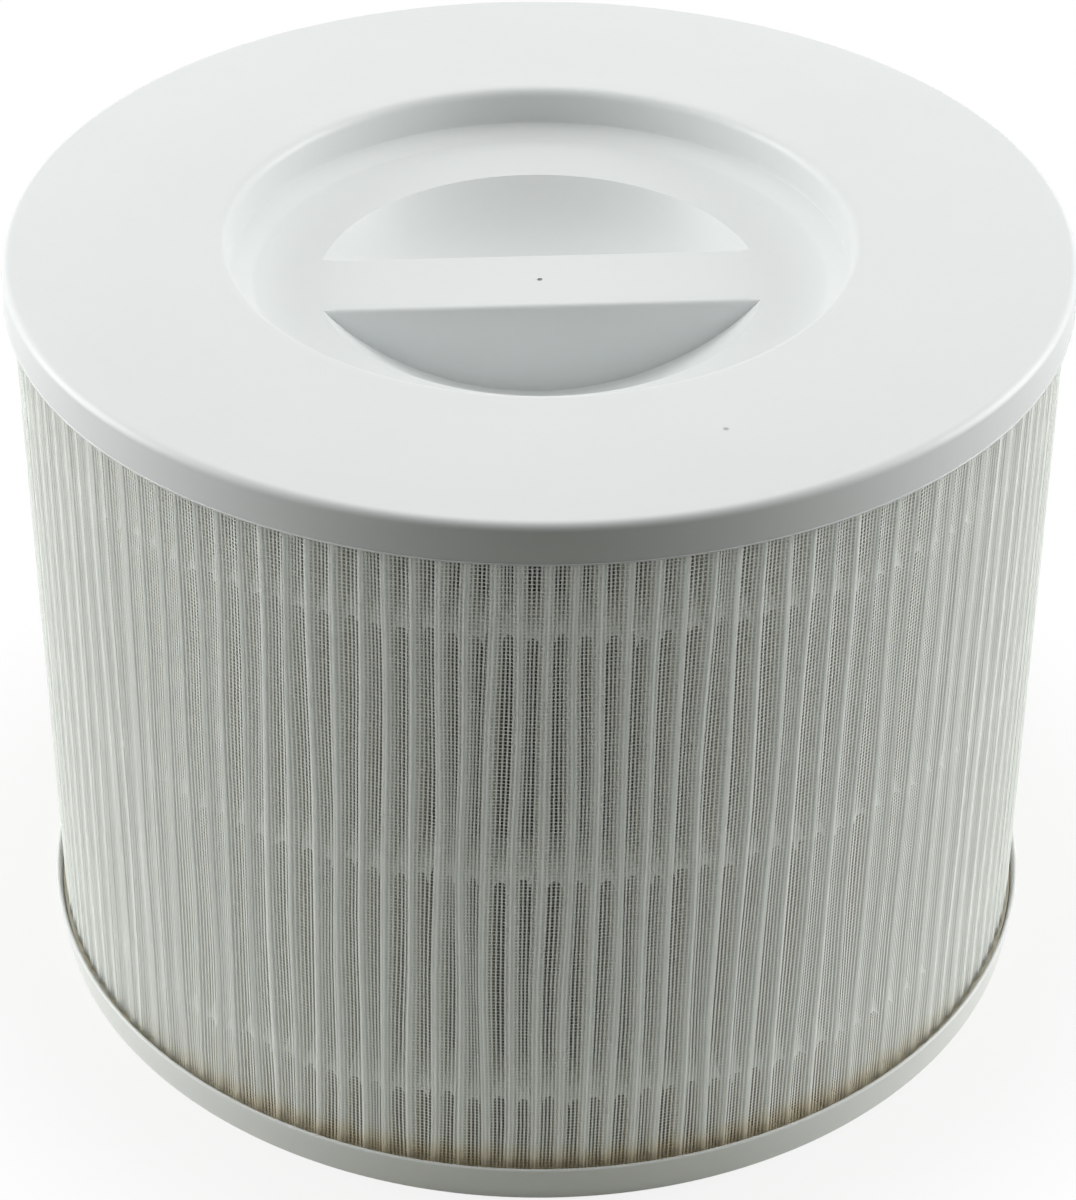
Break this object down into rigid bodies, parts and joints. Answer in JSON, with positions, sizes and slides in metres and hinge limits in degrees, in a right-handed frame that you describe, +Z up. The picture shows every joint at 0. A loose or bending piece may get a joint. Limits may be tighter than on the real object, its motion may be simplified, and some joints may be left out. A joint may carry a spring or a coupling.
{
  "type": "air purifier filter",
  "caption": "Round pleated air filter under a fine net, with a closed moulded cap that has a sunk finger grip, and an open base ring round a hollow core.",
  "frame": {"origin": "centre of the base ring's underside, on the plane that the filter stands on", "axes": "+Z up the filter's axis from the open base to the closed cap; +X along the grip bar; the net's lap and the paper's seam face +Y"},
  "size_m": [0.1923, 0.1922, 0.1453],
  "materials": {
    "cap_plastic": "white moulded plastic, fine satin",
    "ring_plastic": "white moulded plastic, fine satin",
    "core_plastic": "white moulded lattice, satin",
    "filter_paper": "off-white pleated fibre paper",
    "net_cloth": "white fine nylon net",
    "hot_melt": "milky hot melt",
    "potting_glue": "amber set glue",
    "carbon": "black porous carbon felt"
  },
  "bodies": {
    "root": {"end_cap": "cap_plastic", "base_ring": "ring_plastic", "core_tube": "core_plastic", "top_potting": "potting_glue", "bottom_potting": "potting_glue", "carbon_sleeve": "carbon", "pleated_media": "filter_paper", "media_seam": "hot_melt", "glue_row_lower": "hot_melt", "glue_row_middle": "hot_melt", "glue_row_upper": "hot_melt", "prefilter_net": "net_cloth", "net_lap": "net_cloth"}
  },
  "joints": []
}
